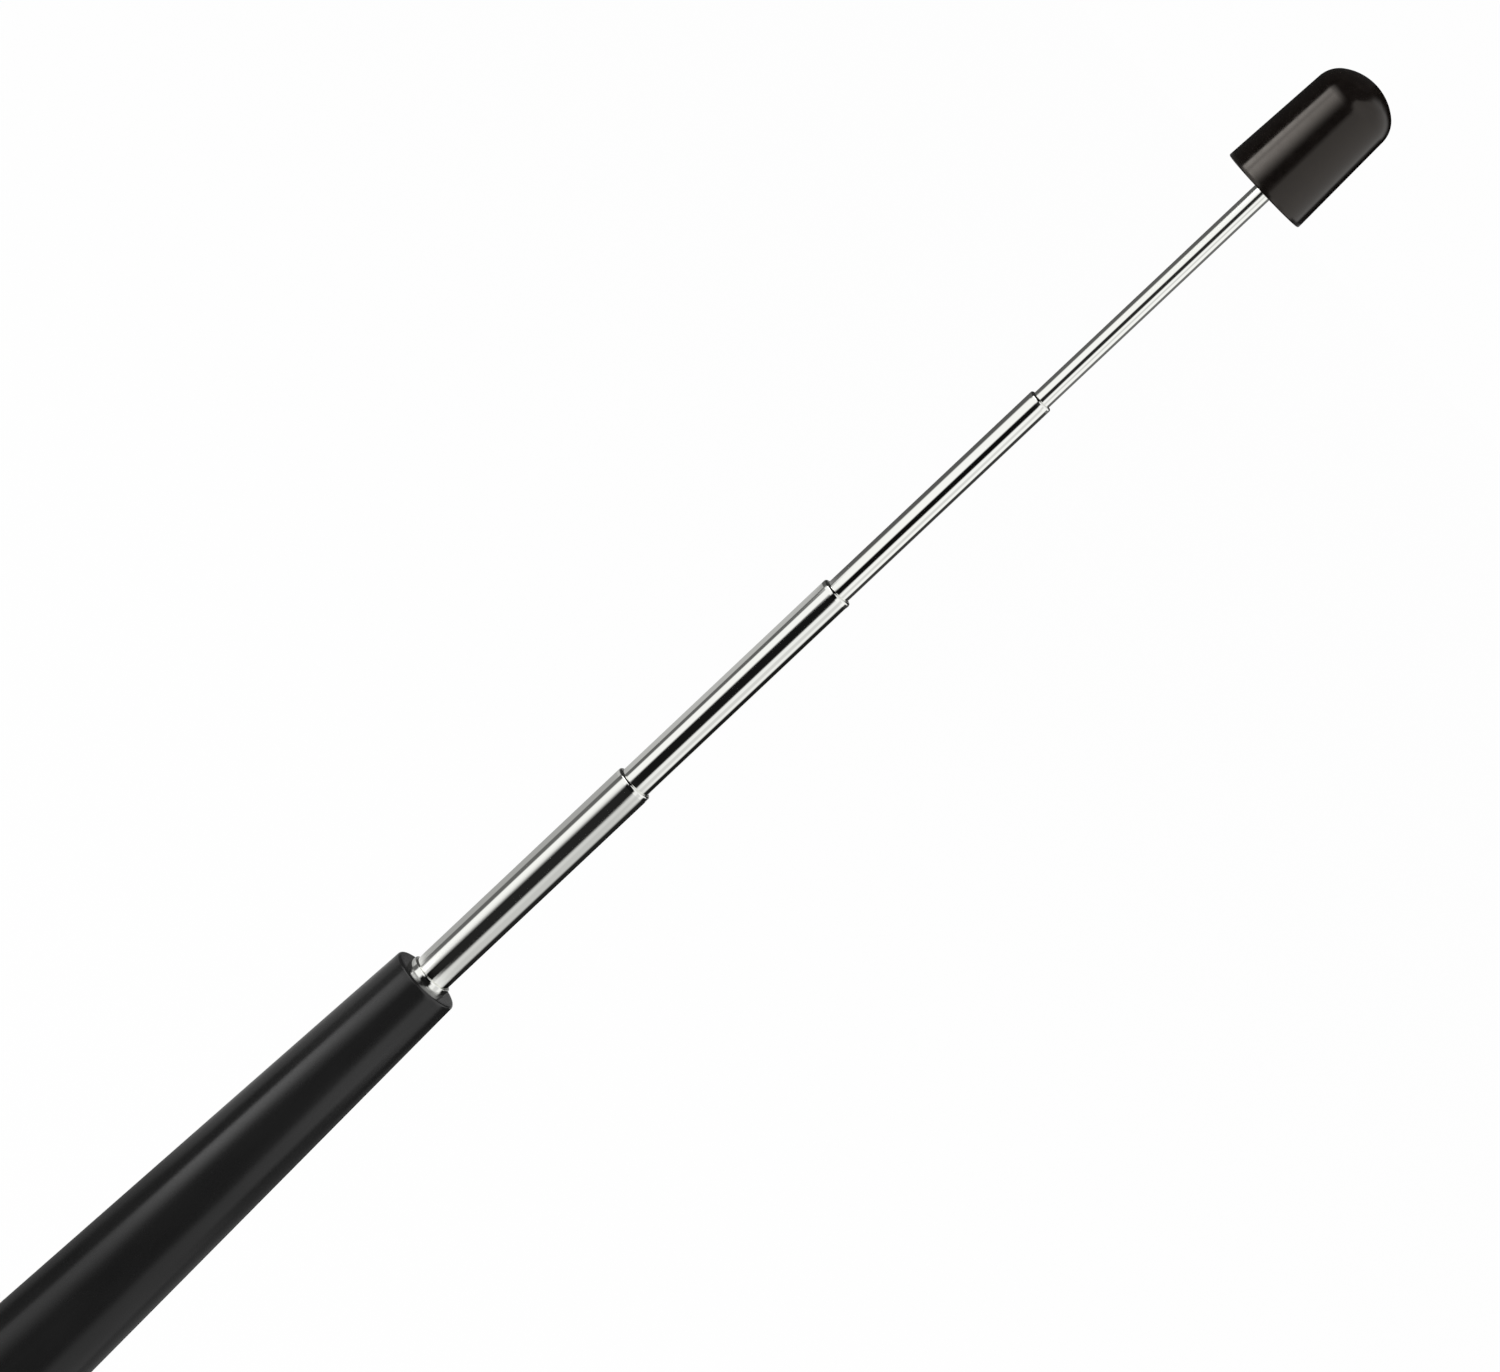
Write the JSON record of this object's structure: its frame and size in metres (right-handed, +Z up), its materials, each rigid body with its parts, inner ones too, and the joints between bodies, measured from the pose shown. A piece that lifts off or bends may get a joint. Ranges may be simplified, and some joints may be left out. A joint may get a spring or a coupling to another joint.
{
  "type": "telescopic tv antenna mast",
  "caption": "Telescopic mast of an indoor TV antenna: chromed tubes that slide out of a black tapered sleeve, under a bullet-shaped tip cap.",
  "frame": {"origin": "centre of the sleeve's flat lower end", "axes": "+Z up along the mast, from the sleeve to the tip cap; +X towards the right-hand friction shoes"},
  "size_m": [0.018, 0.018, 0.2843],
  "materials": {
    "sleeve_plastic": "satin black moulding",
    "cap_plastic": "glossy black moulding",
    "chrome": "bright chrome on drawn brass tube",
    "brass": "turned brass",
    "bronze": "rolled spring bronze"
  },
  "bodies": {
    "sleeve_body": {"sleeve": "sleeve_plastic", "base_plug": "sleeve_plastic", "base_insert": "brass", "outer_tube": "chrome", "stop_plug": "brass"},
    "section_1": {"tube_1": "chrome", "foot_bush_1": "brass", "shoe_1_right": "bronze", "shoe_1_left": "bronze"},
    "section_2": {"tube_2": "chrome", "foot_bush_2": "brass", "shoe_2_right": "bronze", "shoe_2_left": "bronze"},
    "section_3": {"tube_3": "chrome", "foot_bush_3": "brass", "shoe_3_right": "bronze", "shoe_3_left": "bronze"},
    "section_4": {"tube_4": "chrome", "foot_bush_4": "brass", "shoe_4_right": "bronze", "shoe_4_left": "bronze", "tip_ferrule": "brass", "tip_cap": "cap_plastic"}
  },
  "joints": [
    {"name": "section_1_slide", "type": "slide", "parent": "sleeve_body", "child": "section_1", "axis": [0, 0, 1], "range_m": [-0.0371, 0.0013]},
    {"name": "section_2_slide", "type": "slide", "parent": "section_1", "child": "section_2", "axis": [0, 0, 1], "range_m": [-0.0363, 0.0021]},
    {"name": "section_3_slide", "type": "slide", "parent": "section_2", "child": "section_3", "axis": [0, 0, 1], "range_m": [-0.0357, 0.0027]},
    {"name": "section_4_slide", "type": "slide", "parent": "section_3", "child": "section_4", "axis": [0, 0, 1], "range_m": [-0.0384, 0]}
  ]
}
